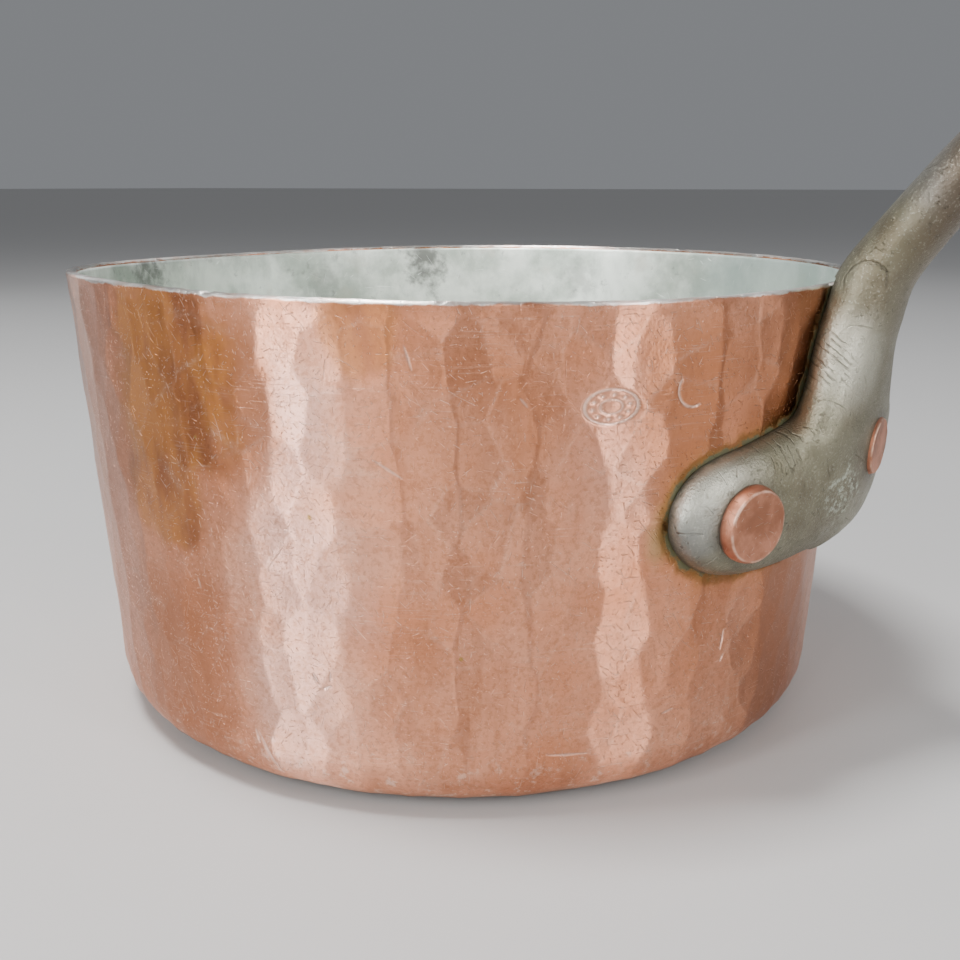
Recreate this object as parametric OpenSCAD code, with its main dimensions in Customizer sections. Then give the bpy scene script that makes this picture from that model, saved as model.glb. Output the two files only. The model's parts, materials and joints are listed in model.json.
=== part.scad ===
// Hammered copper saucepan with a tin lining and a cast-iron handle, held by three copper rivets.
// Origin: centre of the underside. +Z up, +X towards the handle. Millimetres.

/* [Pan] */
// Outside diameter at the rim
rim_d = 220; // [180:2:320]
// Outside diameter that the sloping wall would have at the table
foot_d = 204; // [168:2:310]
// Height of the rim above the table
pan_h = 120; // [98:1:170]
// Outside radius of the corner between the wall and the base
corner_r = 14; // [8:1:24]
// Thickness of the copper sheet
copper_t = 2.8; // [1.6:0.1:4]
// Radius worn on both edges of the rim
rim_round = 0.9; // [0.2:0.1:1.2]
// Thickness of the tin lining
tin_t = 0.25; // [0.15:0.05:0.5]

/* [Rivets] */
// Diameter of a rivet's shank
shank_d = 9; // [6:0.5:11]
// Diameter of a side rivet's outer head where it meets the iron
side_head_d = 18; // [14:0.5:22]
// Diameter of the centre rivet's outer head, which lies lower in the iron
centre_head_d = 15; // [13:0.5:20]
// How much narrower the flat on top of an outer head is
head_bevel = 2.2; // [1:0.2:4]
// Height of the two side rivets' outer heads
side_head_h = 4.6; // [2:0.2:6]
// Height of the centre rivet's outer head
centre_head_h = 3.4; // [1.6:0.2:6]
// Diameter of the head inside the pan
inner_head_d = 20; // [14:0.5:24]
// Height of the head inside the pan
inner_head_h = 2.2; // [1:0.1:4]
// Angle round the pan from the handle to each side rivet
side_turn = 23.5; // [15:0.5:35]
// Height of the side rivets below the rim
side_drop = 50.5; // [40:0.5:66]
// Height of the centre rivet below the rim
centre_drop = 39; // [30:0.5:55]

/* [Handle] */
// Radius of the flange's side lobes at the wall
lobe_r = 16; // [12:0.5:20]
// Thickness of the iron at a side rivet
lobe_t = 7; // [4:0.5:10]
// Radius of the middle of the flange at the wall
middle_r = 19; // [16:0.5:26]
// Thickness of the iron under the centre rivet's head
centre_seat_t = 11; // [9:0.5:12]
// Reach of the handle past the rim, to the middle of its eye
reach = 194; // [150:2:280]
// Rise of the eye's middle above the rim
rise = 105; // [80:2:150]
// Width of the shank at its narrowest
shank_w = 22; // [17:0.5:28]
// How far the neck stands off the wall below the rim
neck_proud = 13; // [11.5:0.5:16]
// Thickness of the neck just above the rim
neck_t = 15; // [11:0.5:18]
// Radius of the handle's rounded end
tip_r = 17; // [13:0.5:22]
// Thickness of the handle's end
tip_t = 7.5; // [5:0.5:11]
// Radius of the eye's round end
eye_r = 6; // [4:0.5:8]
// Length of the eye between the middles of its two ends
eye_l = 23; // [8:1:32]

/* [Hidden] */
$fn = 96;
eps = 0.01;
arc_steps = 12;      // straight stretches in a rounded corner's quarter
ring_sides = 24;     // sides of the handle's section
ring_steps = 4;      // rings between two stations of the handle
section_power = 2.4; // 2 is an ellipse, more is squarer

copper = "#b87155";
tin = "#a9ada6";
iron = "#77756a";

rim_r = rim_d / 2;
foot_r = foot_d / 2;
taper = atan((rim_r - foot_r) / pan_h);
rim_edge = min(rim_round, 0.45 * copper_t); // the two rounded edges leave a flat between them
side_z = pan_h - side_drop;
centre_z = pan_h - centre_drop;
// Rivets in order: left, centre, right, seen from outside the pan with the handle in front.
rivet_turn = [-side_turn, 0, side_turn];
rivet_z = [side_z, centre_z, side_z];
seat_t = [lobe_t, centre_seat_t, lobe_t];
head_d = [side_head_d, centre_head_d, side_head_d];
head_h = [side_head_h, centre_head_h, side_head_h];
seat_gap = 0.3;      // all round a head that lies in a spot face
eye_small_r = eye_r * 0.4;

// Radius of the pan's outside at height z.
function wall_r(z) = foot_r + z * tan(taper);

// Points of an arc about c, from angle a0 to a1.
function arc(c, r, a0, a1) =
    [for (i = [0 : arc_steps]) let (a = a0 + (a1 - a0) * i / arc_steps) c + r * [cos(a), sin(a)]];

// Middle of the corner arc between the wall and the base. Every skin of the pan shares it.
corner_c = [foot_r + corner_r * tan(taper) - corner_r / cos(taper), corner_r];

// Half section of the space inside the skin that lies inset below the pan's outside, up to height top.
function skin(inset, top) = concat(
    [[0, top], [0, inset]],
    arc(corner_c, corner_r - inset, -90, -taper),
    [[wall_r(top) - inset / cos(taper), top]]
);

module inside_of_skin(inset, top) {
    rotate_extrude() polygon(skin(inset, top));
}

// The copper between its outer and inner skin, with both edges of the rim rounded.
module pan_section() {
    edge_z = pan_h - rim_edge;
    outer_x = wall_r(edge_z) - rim_edge / cos(taper);
    inner_x = wall_r(edge_z) - (copper_t - rim_edge) / cos(taper);
    polygon(concat(
        [[0, copper_t], [0, 0]],
        arc(corner_c, corner_r, -90, -taper),
        arc([outer_x, edge_z], rim_edge, -taper, 90),
        arc([inner_x, edge_z], rim_edge, 90, 180 - taper),
        [for (i = [arc_steps : -1 : 0]) arc(corner_c, corner_r - copper_t, -90, -taper)[i]]
    ));
}

// Puts its children on the pan's outside at rivet i, with their +Z square to the wall and outwards.
module at_rivet(i) {
    rotate([0, 0, rivet_turn[i]])
        translate([wall_r(rivet_z[i]), 0, rivet_z[i]])
            rotate([0, 90 + taper, 0]) children();
}

module shank_hole(i) {
    at_rivet(i) translate([0, 0, -copper_t * 2])
        cylinder(d = shank_d, h = copper_t * 2 + seat_t[i] + 3 * head_h[i]);
}

// The head inside the pan: a low bevelled disc, with grow added on its side and its face.
module inner_head(i, grow) {
    bevel = inner_head_h / 2;
    at_rivet(i) translate([0, 0, -copper_t]) mirror([0, 0, 1]) {
        translate([0, 0, -1]) cylinder(d = inner_head_d + 2 * grow, h = 1 + bevel);
        translate([0, 0, bevel])
            cylinder(d1 = inner_head_d + 2 * grow, d2 = inner_head_d - 2 * bevel + 2 * grow, h = bevel + grow);
    }
}

// The outer head: hammered to a low cone with a flat top, on the iron's seat.
module outer_head(i) {
    at_rivet(i) translate([0, 0, seat_t[i]]) cylinder(d1 = head_d[i], d2 = head_d[i] - head_bevel, h = head_h[i]);
}

module rivet(i) {
    color(copper) union() {
        intersection() {
            inner_head(i, 0);
            inside_of_skin(copper_t, pan_h);
        }
        at_rivet(i) translate([0, 0, -copper_t - eps])
            cylinder(d = shank_d, h = copper_t + seat_t[i] + 2 * eps);
        outer_head(i);
    }
}

module pan_body() {
    color(copper) difference() {
        rotate_extrude() pan_section();
        for (i = [0 : 2]) shank_hole(i);
    }
}

// A film of tin on the whole inside, which also covers the rivets' inner heads.
module tin_lining() {
    color(tin) difference() {
        union() {
            difference() {
                inside_of_skin(copper_t, pan_h - rim_edge);
                inside_of_skin(copper_t + tin_t, pan_h);
            }
            for (i = [0 : 2]) intersection() {
                inner_head(i, tin_t);
                inside_of_skin(copper_t, pan_h);
            }
        }
        for (i = [0 : 2]) inner_head(i, 0);
    }
}

// ---- handle ----
// Stations of the handle's middle line, from the foot of its root to the middle of the eye:
// [x, z, width, thickness]. The neck is placed from the rim, and the shank from the reach and rise.
neck_x = rim_r + 11;
eye_x = rim_r + reach;
eye_z = pan_h + rise;
neck_core = 4;       // distance from the wall to the middle line, where the neck lies on the wall
function along(share_x, share_z, w, t) =
    [neck_x + (eye_x - neck_x) * share_x, pan_h + (eye_z - pan_h) * share_z, w, t];
// proud is how far the neck's outer surface stands off the wall at height z.
function on_wall(z, proud, w) = [wall_r(z) + neck_core, z, w, 2 * (proud - neck_core)];
stations = [
    on_wall(side_z - 17, neck_core + 2, shank_w),
    on_wall(side_z - 12, neck_proud - 4.5, shank_w + 12),
    on_wall(side_z - 3, neck_proud - 1.3, shank_w + 20),
    on_wall(side_z + 8, neck_proud - 0.2, shank_w + 26),
    on_wall(side_z + 17, neck_proud, shank_w + 32),
    on_wall(side_z + 24, neck_proud, shank_w + 22),
    on_wall(pan_h - 19, neck_proud, shank_w + 16),
    [rim_r + 4.8, pan_h - 8, shank_w + 9, neck_t + 3],
    [rim_r + 7.4, pan_h, shank_w + 5, neck_t + 1.5],
    along(0.002, 0.07, shank_w + 3, neck_t + 0.7),
    along(0.043, 0.166, shank_w + 1.5, neck_t),
    along(0.071, 0.229, shank_w + 0.7, neck_t - 0.3),
    along(0.104, 0.295, shank_w + 0.2, neck_t - 0.7),
    along(0.145, 0.357, shank_w, neck_t - 1.1),
    along(0.202, 0.429, shank_w, neck_t - 1.6),
    along(0.284, 0.51, shank_w + 0.3, neck_t - 2.1),
    along(0.393, 0.595, shank_w + 1.2, tip_t + 2.4),
    along(0.53, 0.69, shank_w + 3, tip_t + 1.8),
    along(0.683, 0.79, (shank_w + 2 * tip_r) / 2 - 1, tip_t + 1.2),
    along(0.836, 0.89, 2 * tip_r - 4, tip_t + 0.5),
    along(1, 1, 2 * tip_r, tip_t)
];
last = len(stations) - 1;

// A smooth curve through the stations: k counts stations, and need not be whole.
function station(k) =
    let (
        i = min(floor(k), last - 1), f = k - i,
        a = stations[max(i - 1, 0)], b = stations[i],
        c = stations[i + 1], d = stations[min(i + 2, last)]
    )
    0.5 * (2 * b + (c - a) * f + (2 * a - 5 * b + 4 * c - d) * f * f + (3 * b - a - 3 * c + d) * f * f * f);

function tangent(k) =
    let (a = station(max(k - 0.05, 0)), b = station(min(k + 0.05, last)), v = [b[0] - a[0], b[1] - a[1]])
    v / norm(v);

tip_tangent = tangent(last);
tip_tilt = atan2(tip_tangent[1], tip_tangent[0]);
// Rings of the rounded end, as [x, z, width, thickness], at angles round the eye's middle.
tip_angles = [15, 30, 45, 58, 70, 79];
function tip_ring(a) = [
    eye_x + tip_r * sin(a) * tip_tangent[0], eye_z + tip_r * sin(a) * tip_tangent[1],
    2 * tip_r * cos(a), tip_t * (0.55 + 0.45 * cos(a))
];

// One ring of points round the middle line: s is [x, z, width, thickness] and v the line's direction.
function signed_power(x, p) = sign(x) * pow(abs(x), p);
function ring(s, v) = [
    for (j = [0 : ring_sides - 1])
        let (
            a = 360 * (j + 0.5) / ring_sides,
            across = s[2] / 2 * signed_power(cos(a), 2 / section_power),
            out = s[3] / 2 * signed_power(sin(a), 2 / section_power)
        )
        [s[0] + out * v[1], across, s[1] - out * v[0]]
];

module shank_sweep() {
    rings = concat(
        [for (m = [0 : last * ring_steps]) ring(station(m / ring_steps), tangent(m / ring_steps))],
        [for (a = tip_angles) ring(tip_ring(a), tip_tangent)]
    );
    n = len(rings);
    points = [for (r = rings) for (p = r) p];
    sides = [
        for (m = [0 : n - 2]) for (j = [0 : ring_sides - 1])
            let (k = (j + 1) % ring_sides, a = m * ring_sides, b = a + ring_sides)
            each [[a + j, a + k, b + k], [a + j, b + k, b + j]]
    ];
    foot = [[for (j = [ring_sides - 1 : -1 : 0]) j]];
    end = [[for (j = [0 : ring_sides - 1]) (n - 1) * ring_sides + j]];
    polyhedron(points, concat(foot, sides, end), convexity = 6);
}

// One arm of the flange, from the middle out to the side lobe round rivet i.
module flange_arm(i) {
    hull() {
        at_rivet(i) cylinder(r1 = lobe_r, r2 = lobe_r - 2.5, h = lobe_t, $fn = 48);
        translate([wall_r(side_z) - 8, 0, side_z + 1]) rotate([0, 90, 0])
            cylinder(r1 = middle_r, r2 = middle_r - 5, h = 18.5, $fn = 48);
    }
}

// The eye's outline: a large round end at the tip, narrowing towards the pan.
module eye_outline() {
    lean = asin((eye_r - eye_small_r) / eye_l);
    circle(r = eye_r);
    translate([-eye_l, 0]) circle(r = eye_small_r);
    polygon([
        eye_r * [-sin(lean), cos(lean)], [-eye_l, 0] + eye_small_r * [-sin(lean), cos(lean)],
        [-eye_l, 0] + eye_small_r * [-sin(lean), -cos(lean)], eye_r * [-sin(lean), -cos(lean)]
    ]);
}

module handle() {
    color(iron) difference() {
        union() {
            shank_sweep();
            flange_arm(0);
            flange_arm(2);
        }
        inside_of_skin(0, pan_h + eps);
        for (i = [0 : 2]) shank_hole(i);
        at_rivet(1) translate([0, 0, centre_seat_t]) cylinder(d = centre_head_d + 2 * seat_gap, h = neck_proud);
        translate([eye_x, 0, eye_z]) rotate([0, -tip_tilt, 0])
            linear_extrude(height = 4 * tip_t, center = true) eye_outline();
    }
}

pan_body();
tin_lining();
handle();
rivet(0);  // rivet_left
rivet(1);  // rivet_centre
rivet(2);  // rivet_right
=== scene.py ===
import json
import math

import bmesh
import bpy
import numpy as np
from mathutils import Matrix, Vector
from mathutils.bvhtree import BVHTree


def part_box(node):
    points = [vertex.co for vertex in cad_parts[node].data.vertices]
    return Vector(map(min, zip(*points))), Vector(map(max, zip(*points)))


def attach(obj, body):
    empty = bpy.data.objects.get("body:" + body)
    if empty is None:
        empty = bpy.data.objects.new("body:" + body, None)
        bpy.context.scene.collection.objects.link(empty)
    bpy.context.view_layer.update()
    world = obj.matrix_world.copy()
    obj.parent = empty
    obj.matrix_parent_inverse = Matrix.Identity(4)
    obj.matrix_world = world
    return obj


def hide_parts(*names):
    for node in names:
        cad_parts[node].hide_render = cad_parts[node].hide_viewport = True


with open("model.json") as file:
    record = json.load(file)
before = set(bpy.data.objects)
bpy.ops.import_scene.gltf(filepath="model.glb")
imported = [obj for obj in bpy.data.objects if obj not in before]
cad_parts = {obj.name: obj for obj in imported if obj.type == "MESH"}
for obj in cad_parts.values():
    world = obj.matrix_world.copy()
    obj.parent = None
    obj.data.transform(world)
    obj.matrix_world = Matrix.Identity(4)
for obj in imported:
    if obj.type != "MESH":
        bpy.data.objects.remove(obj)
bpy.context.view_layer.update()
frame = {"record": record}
panLow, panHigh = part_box("pan_body")
mounts = {m["name"]: m for m in frame["record"]["mounts"]}
mm = 0.001
print("frame loaded:", [round(c, 4) for c in panHigh])

# sizes that several pieces share, in metres
pan = {
    "height": panHigh.z,
    "rim": (panHigh.y - panLow.y) / 2,     # outside radius at the rim
    "footShare": 0.9273,                   # radius that the slope would have on the table, of the rim's
    "corner": 14 * mm,
    "sheet": 2.8 * mm,
    "rimRound": 0.9 * mm,
    "tin": 0.25 * mm,
    "steps": 900,                          # round the pan
}
pan["foot"] = pan["rim"] * pan["footShare"]
pan["slope"] = math.atan((pan["rim"] - pan["foot"]) / pan["height"])
pan["cornerX"] = pan["foot"] + pan["corner"] * (math.tan(pan["slope"]) - 1 / math.cos(pan["slope"]))

rivet = {
    "turns": {"rivet_left": -23.5, "rivet_centre": 0.0, "rivet_right": 23.5},   # degrees from the handle
    "drop": {"rivet_left": 50.5 * mm, "rivet_centre": 39 * mm, "rivet_right": 50.5 * mm},   # below the rim
    "seat": {"rivet_left": 7 * mm, "rivet_centre": 11 * mm, "rivet_right": 7 * mm},   # iron under the head
    "width": {"rivet_left": 18 * mm, "rivet_centre": 15 * mm, "rivet_right": 18 * mm},
    "tall": {"rivet_left": 3.4 * mm, "rivet_centre": 3.2 * mm, "rivet_right": 3.4 * mm},
    "shank": 9 * mm,
    "inner": 20 * mm,
    "innerTall": 2.2 * mm,
    "edge": 0.42 * mm,      # rounding of the head's edge, how far its side leans in, and how it bows out
    "bevel": 0.50 * mm,
    "bow": 0.22 * mm,
}


def wallRadius(z):
    return pan["foot"] + z * math.tan(pan["slope"])


def rivetFrame(name):
    # origin on the wall's outside, local z square to the wall and outwards
    z = pan["height"] - rivet["drop"][name]
    turn = Matrix.Rotation(math.radians(rivet["turns"][name]), 4, "Z")
    lean = Matrix.Rotation(math.pi / 2 + pan["slope"], 4, "Y")
    return turn @ Matrix.Translation((wallRadius(z), 0, z)) @ lean


cameraSet = {
    "lens": 43.1,       # mm, on a sensor 36 mm wide
    "aside": 57.5,      # degrees clockwise from the handle, seen from above
    "distance": 0.3405,
    "height": 0.1427,
    "down": 14.45,      # degrees that it looks down
    "swing": 0.785,     # degrees that it points to the right of the pan's middle
}


def makeCamera(c):
    data = bpy.data.cameras.new("camera")
    data.lens = c["lens"]
    data.sensor_width = 36
    data.clip_start = 0.01
    data.dof.use_dof = False
    camera = bpy.data.objects.new("camera", data)
    bpy.context.scene.collection.objects.link(camera)
    side = math.radians(-c["aside"])
    camera.location = (c["distance"] * math.cos(side), c["distance"] * math.sin(side), c["height"])
    camera.rotation_euler = (math.radians(90 - c["down"]), 0, math.radians(90 - c["aside"] - c["swing"]))
    bpy.context.scene.camera = camera


makeCamera(cameraSet)
print("camera placed")


def randomAt(cells, seed):
    # a steady random number for each whole-number cell
    mixed = np.zeros(cells.shape[:-1])
    for k, weight in enumerate((12.9898, 78.233, 37.719)[:cells.shape[-1]]):
        mixed = mixed + cells[..., k] * weight
    raw = np.sin(mixed + seed * 4.1414) * 43758.5453
    return raw - np.floor(raw)


def valueNoise(points, size, seed, octaves=3):
    # smooth noise from -1 to 1; size is the width of its largest lumps
    total = np.zeros(len(points))
    strength, weight = 0.0, 1.0
    for octave in range(octaves):
        scaled = points / size * 2 ** octave
        cell = np.floor(scaled)
        part = scaled - cell
        part = part * part * (3 - 2 * part)
        value = np.zeros(len(points))
        for corner in range(8):
            step = np.array([corner & 1, (corner >> 1) & 1, corner >> 2])
            share = np.prod(np.where(step, part, 1 - part), axis=1)
            value += share * randomAt(cell + step, seed + octave)
        total += weight * (2 * value - 1)
        strength += weight
        weight *= 0.5
    return total / strength


def smoothStep(value, low, high):
    t = np.clip((value - low) / (high - low), 0, 1)
    return t * t * (3 - 2 * t)


def coordsOf(mesh):
    flat = np.empty(len(mesh.vertices) * 3)
    mesh.vertices.foreach_get("co", flat)
    return flat.reshape(-1, 3)


def setCoords(mesh, coords):
    mesh.vertices.foreach_set("co", np.ascontiguousarray(coords, dtype=np.float32).ravel())
    mesh.update()


def normalsOf(mesh):
    flat = np.empty(len(mesh.vertices) * 3)
    mesh.vertex_normals.foreach_get("vector", flat)
    return flat.reshape(-1, 3)


def storeValue(mesh, name, values):
    layer = mesh.attributes.get(name) or mesh.attributes.new(name, "FLOAT", "POINT")
    layer.data.foreach_set("value", np.ascontiguousarray(values, dtype=np.float32))


def newPiece(name, mesh):
    piece = bpy.data.objects.new(name, mesh)
    bpy.context.scene.collection.objects.link(piece)
    for face in mesh.polygons:
        face.use_smooth = True
    return piece


def ringMesh(name, rings, startPole=None, endPole=None):
    # rings: (count, steps, 3), all closed; a pole is one point that closes an end
    count, steps = rings.shape[:2]
    points = rings.reshape(-1, 3).tolist()
    index = np.arange(count * steps).reshape(count, steps)
    following = np.roll(index, -1, axis=1)
    faces = np.stack([index[:-1], following[:-1], following[1:], index[1:]], axis=-1).reshape(-1, 4).tolist()
    if startPole is not None:
        points.append(list(startPole))
        faces += [[len(points) - 1, int(b), int(a)] for a, b in zip(index[0], following[0])]
    else:
        faces.append([int(a) for a in index[0][::-1]])
    if endPole is not None:
        points.append(list(endPole))
        faces += [[len(points) - 1, int(a), int(b)] for a, b in zip(index[-1], following[-1])]
    else:
        faces.append([int(a) for a in index[-1]])
    mesh = bpy.data.meshes.new(name)
    mesh.from_pydata(points, [], faces)
    mesh.update()
    return mesh


def roundPan(radius, turn, z):
    return np.stack([radius * np.cos(turn), radius * np.sin(turn), z], axis=-1)


def outward(mesh):
    # turns all faces so that they point out of the solid
    bm = bmesh.new()
    bm.from_mesh(mesh)
    bmesh.ops.recalc_face_normals(bm, faces=bm.faces)
    bm.to_mesh(mesh)
    bm.free()
    mesh.update()


hammer = {
    "wide": 8.6 * mm,       # one blow's mark, round the pan
    "tall": 11.0 * mm,
    "jitter": 0.33,
    "hollowWide": 0.066,    # radius of the hollow it leaves, round and up the wall
    "hollowTall": 0.15,
    "tiltWide": 0.040,      # how askew a blow lands, in radians
    "tiltTall": 0.026,
    "chainTilt": 0.055,     # how askew a whole upright chain of blows is
    "stagger": 0.18,
    "deeper": 0.04 * mm,
    "ridge": 0.20 * mm,     # height of the ridges between the marks
    "seed": 5,
    "endsFrom": 0.1165,     # the marks fade out between these heights
    "endsAt": 0.1195,
    "swell": 0.12 * mm,     # slow unevenness of the wall, and its fine lumps
    "lumps": 0.012 * mm,
    "rimLumps": 0.16 * mm,  # unevenness of the rim's edge, and how deep it is chipped
    "rimChips": 0.45 * mm,
}

# how far the rim has gone out of true: degrees from the handle, rise, spread in degrees
rimWarp = [(-112, 1.3 * mm, 22), (173, -1.0 * mm, 25), (-33, -0.5 * mm, 18)]


def angleGap(turn, middle):
    return (turn - middle + math.pi) % (2 * math.pi) - math.pi


def outOfTrue(turn, z):
    # rise of the sheet near the rim
    rise = np.zeros_like(turn)
    for middle, height, spread in rimWarp:
        rise += height * np.exp(-(angleGap(turn, math.radians(middle)) / math.radians(spread)) ** 2 / 2)
    return rise * np.clip(z / pan["height"], 0, 1) ** 3


def blowMarks(around, up, h=hammer):
    # depth of the planished surface, and how near each point is to a ridge; around and up are in metres
    full = 2 * math.pi * pan["rim"]
    columns = round(full / h["wide"])
    width = full / columns
    row = np.floor(up / h["tall"])
    best = np.full(around.shape, 9.0)
    second = np.full(around.shape, 9.0)
    for rowStep in (-2, -1, 0, 1, 2):
        r = row + rowStep
        shift = h["stagger"] * (r % 2)
        column = np.floor(around / width - shift)
        for columnStep in (-2, -1, 0, 1, 2):
            c = column + columnStep
            cell = np.stack([c % columns, r], axis=-1)
            dx = around - (c + 0.5 + shift + h["jitter"] * (2 * randomAt(cell, h["seed"]) - 1)) * width
            dz = up - (r + 0.5 + h["jitter"] * (2 * randomAt(cell, h["seed"] + 1) - 1)) * h["tall"]
            level = dx ** 2 / (2 * h["hollowWide"]) + dz ** 2 / (2 * h["hollowTall"])
            chain = np.stack([c % columns, 0 * r], axis=-1)
            level += h["tiltWide"] * (2 * randomAt(cell, h["seed"] + 2) - 1) * dx
            level += h["chainTilt"] * (2 * randomAt(chain, h["seed"] + 6) - 1) * dx
            level += h["tiltTall"] * (2 * randomAt(cell, h["seed"] + 3) - 1) * dz
            level -= h["deeper"] * randomAt(cell, h["seed"] + 4)
            second = np.minimum(second, np.maximum(best, level))
            best = np.minimum(best, level)
    ridge = 1 - smoothStep(second - best, 0, 0.10 * mm)
    return np.minimum(best - h["ridge"], 0), ridge


def copperProfile():
    # half section from the middle of the base, up the outside, over the rim and down the inside
    p = pan
    points = [(x, 0) for x in np.linspace(0.02, 1, 26) * p["cornerX"]]
    lean = p["slope"]
    for a in np.linspace(-math.pi / 2, -lean, 26)[1:]:
        points.append((p["cornerX"] + p["corner"] * math.cos(a), p["corner"] + p["corner"] * math.sin(a)))
    top = p["height"] - p["rimRound"]
    for z in np.linspace(points[-1][1], top, 150)[1:]:
        points.append((wallRadius(z), z))
    outer, inner = p["rim"], p["rim"] - p["sheet"] / math.cos(lean)
    for a in np.linspace(0, math.pi / 2, 7)[1:]:
        points.append((outer + p["rimRound"] * (math.cos(a) - 1), top + p["rimRound"] * math.sin(a)))
    for a in np.linspace(math.pi / 2, math.pi, 7):
        points.append((inner + p["rimRound"] * (math.cos(a) + 1), top + p["rimRound"] * math.sin(a)))
    reach = p["corner"] - p["sheet"]
    for z in np.linspace(top - 2 * mm, p["corner"], 20):
        points.append((wallRadius(z) - p["sheet"] / math.cos(lean), z))
    for a in np.linspace(-lean, -math.pi / 2, 10)[1:]:
        points.append((p["cornerX"] + reach * math.cos(a), p["corner"] + reach * math.sin(a)))
    points.append((0.02 * p["cornerX"], p["sheet"]))
    return np.array(points)


# single marks on the copper: degrees from the handle, height, how long, which way it leans, depth, in mm
gouges = [
    (-84.7, 12.0, 11.0, -66, 0.30), (-86.2, 15.6, 4.0, -75, 0.20),
    (-66.2, 84.6, 8.0, -32, 0.16), (-44.3, 15.3, 11.0, -4, 0.16),
    (-63.6, 108.4, 6.0, -74, 0.14), (-21.4, 37.0, 6.0, 84, 0.22),
    (-21.0, 32.0, 2.4, 70, 0.20), (-76.6, 33.6, 3.2, -55, 0.18),
    (-75.2, 31.8, 3.4, 25, 0.18), (-74.6, 34.6, 2.6, 80, 0.16),
    (-51.0, 99.0, 3.0, -50, 0.12), (-94.0, 52.0, 3.0, -80, 0.14),
    (-30.0, 22.0, 4.0, 12, 0.14), (148.0, 30.0, 7.0, 35, 0.20),
    (96.0, 62.0, 5.0, -20, 0.18), (62.0, 18.0, 6.0, 70, 0.20),
]
# pits that have gone brown: degrees from the handle, height, radius
brownPits = [(-76.0, 72.7 * mm, 0.7 * mm), (-91.5, 88.0 * mm, 0.35 * mm), (-58.0, 41.0 * mm, 0.35 * mm)]

# a plain oval punch mark and a crescent: degrees from the handle, height, radius, how much wider than tall,
# the part of the circle that shows, and how many dots are inside
punches = [
    {"turn": -40.9, "height": 97.4 * mm, "radius": 3.75 * mm, "broad": 1.65,
     "from": -180, "to": 180, "dots": 10},
    {"turn": -30.2, "height": 100.0 * mm, "radius": 4.1 * mm, "broad": 1.0,
     "from": 145, "to": 300, "dots": 0},
]

# how wide its lines and dots are, and how deep
punchTool = {
    "line": 0.24 * mm,
    "dotWide": 0.36 * mm,
    "outer": 0.30 * mm,
    "inner": 0.14 * mm,
    "dot": 0.18 * mm,
}


def punchDepth(x, y, p):
    # two rings with a ring of dots between them, or one open crescent
    x = x / p["broad"]
    reach = np.hypot(x, y)
    angle = np.degrees(np.arctan2(y, x)) % 360
    shown = smoothStep(angle, p["from"] % 360 - 4, p["from"] % 360 + 14) if p["dots"] == 0 else 1
    if p["dots"] == 0:
        shown = shown * (1 - smoothStep(angle, p["to"] - 14, p["to"] + 4))
    groove = np.exp(-((reach - p["radius"]) / punchTool["line"]) ** 2)
    depth = punchTool["outer"] * groove * shown
    if p["dots"]:
        depth += punchTool["inner"] * np.exp(-((reach - 0.42 * p["radius"]) / punchTool["line"]) ** 2)
        for k in range(p["dots"]):
            a = 2 * math.pi * (k + 0.3) / p["dots"]
            away = np.hypot(x - 0.71 * p["radius"] * math.cos(a), y - 0.71 * p["radius"] * math.sin(a))
            depth += punchTool["dot"] * np.exp(-(away / punchTool["dotWide"]) ** 2)
    return depth


def cutMarks(mesh):
    # refines the sheet round each mark, and presses the mark in
    spots = [(p["turn"], p["height"], p["radius"] * p["broad"] + 1.4 * mm, 3) for p in punches]
    spots += [(turn, height * mm, length * mm / 2 + 0.8 * mm, 3) for turn, height, length, _, _ in gouges]
    bm = bmesh.new()
    bm.from_mesh(mesh)
    for turn, height, reach, cuts in spots:
        a = math.radians(turn)
        middle = Vector((wallRadius(height) * math.cos(a), wallRadius(height) * math.sin(a), height))
        faces = [f for f in bm.faces if (f.calc_center_median() - middle).length < reach]
        edges = list({e for f in faces for e in f.edges})
        bmesh.ops.subdivide_edges(bm, edges=edges, cuts=cuts, use_grid_fill=True)
    bm.to_mesh(mesh)
    bm.free()
    coords = coordsOf(mesh)
    turn = np.arctan2(coords[:, 1], coords[:, 0])
    outside = np.hypot(coords[:, 0], coords[:, 1]) > wallRadius(coords[:, 2]) - 1.2 * mm
    punched = np.zeros(len(coords))
    gouged = np.zeros(len(coords))
    for p in punches:
        x = angleGap(turn, math.radians(p["turn"])) * wallRadius(p["height"])
        y = coords[:, 2] - p["height"]
        near = (np.hypot(x / p["broad"], y) < p["radius"] + 2 * mm) & outside
        punched[near] += punchDepth(x[near], y[near], p)
    for middle, height, length, lean, depth in gouges:
        height, length, depth, lean = height * mm, length * mm, depth * mm, math.radians(lean)
        x = angleGap(turn, math.radians(middle)) * wallRadius(height)
        y = coords[:, 2] - height
        along = x * math.cos(lean) + y * math.sin(lean)
        across = -x * math.sin(lean) + y * math.cos(lean)
        width = 0.12 * mm + 1.1 * depth * np.clip(1 - np.abs(along) / length * 2, 0, 1)
        mark = np.exp(-(across / width) ** 2) * (1 - smoothStep(np.abs(along), 0.35 * length, 0.52 * length))
        gouged += np.where(outside & (np.abs(along) < length), depth * mark, 0)
    coords[:, 0] -= (punched + gouged) * np.cos(turn)
    coords[:, 1] -= (punched + gouged) * np.sin(turn)
    setCoords(mesh, coords)
    storeValue(mesh, "punched", np.clip(punched / (0.2 * mm), 0, 1))
    storeValue(mesh, "gouged", np.clip(gouged / (0.12 * mm), 0, 1))


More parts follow.
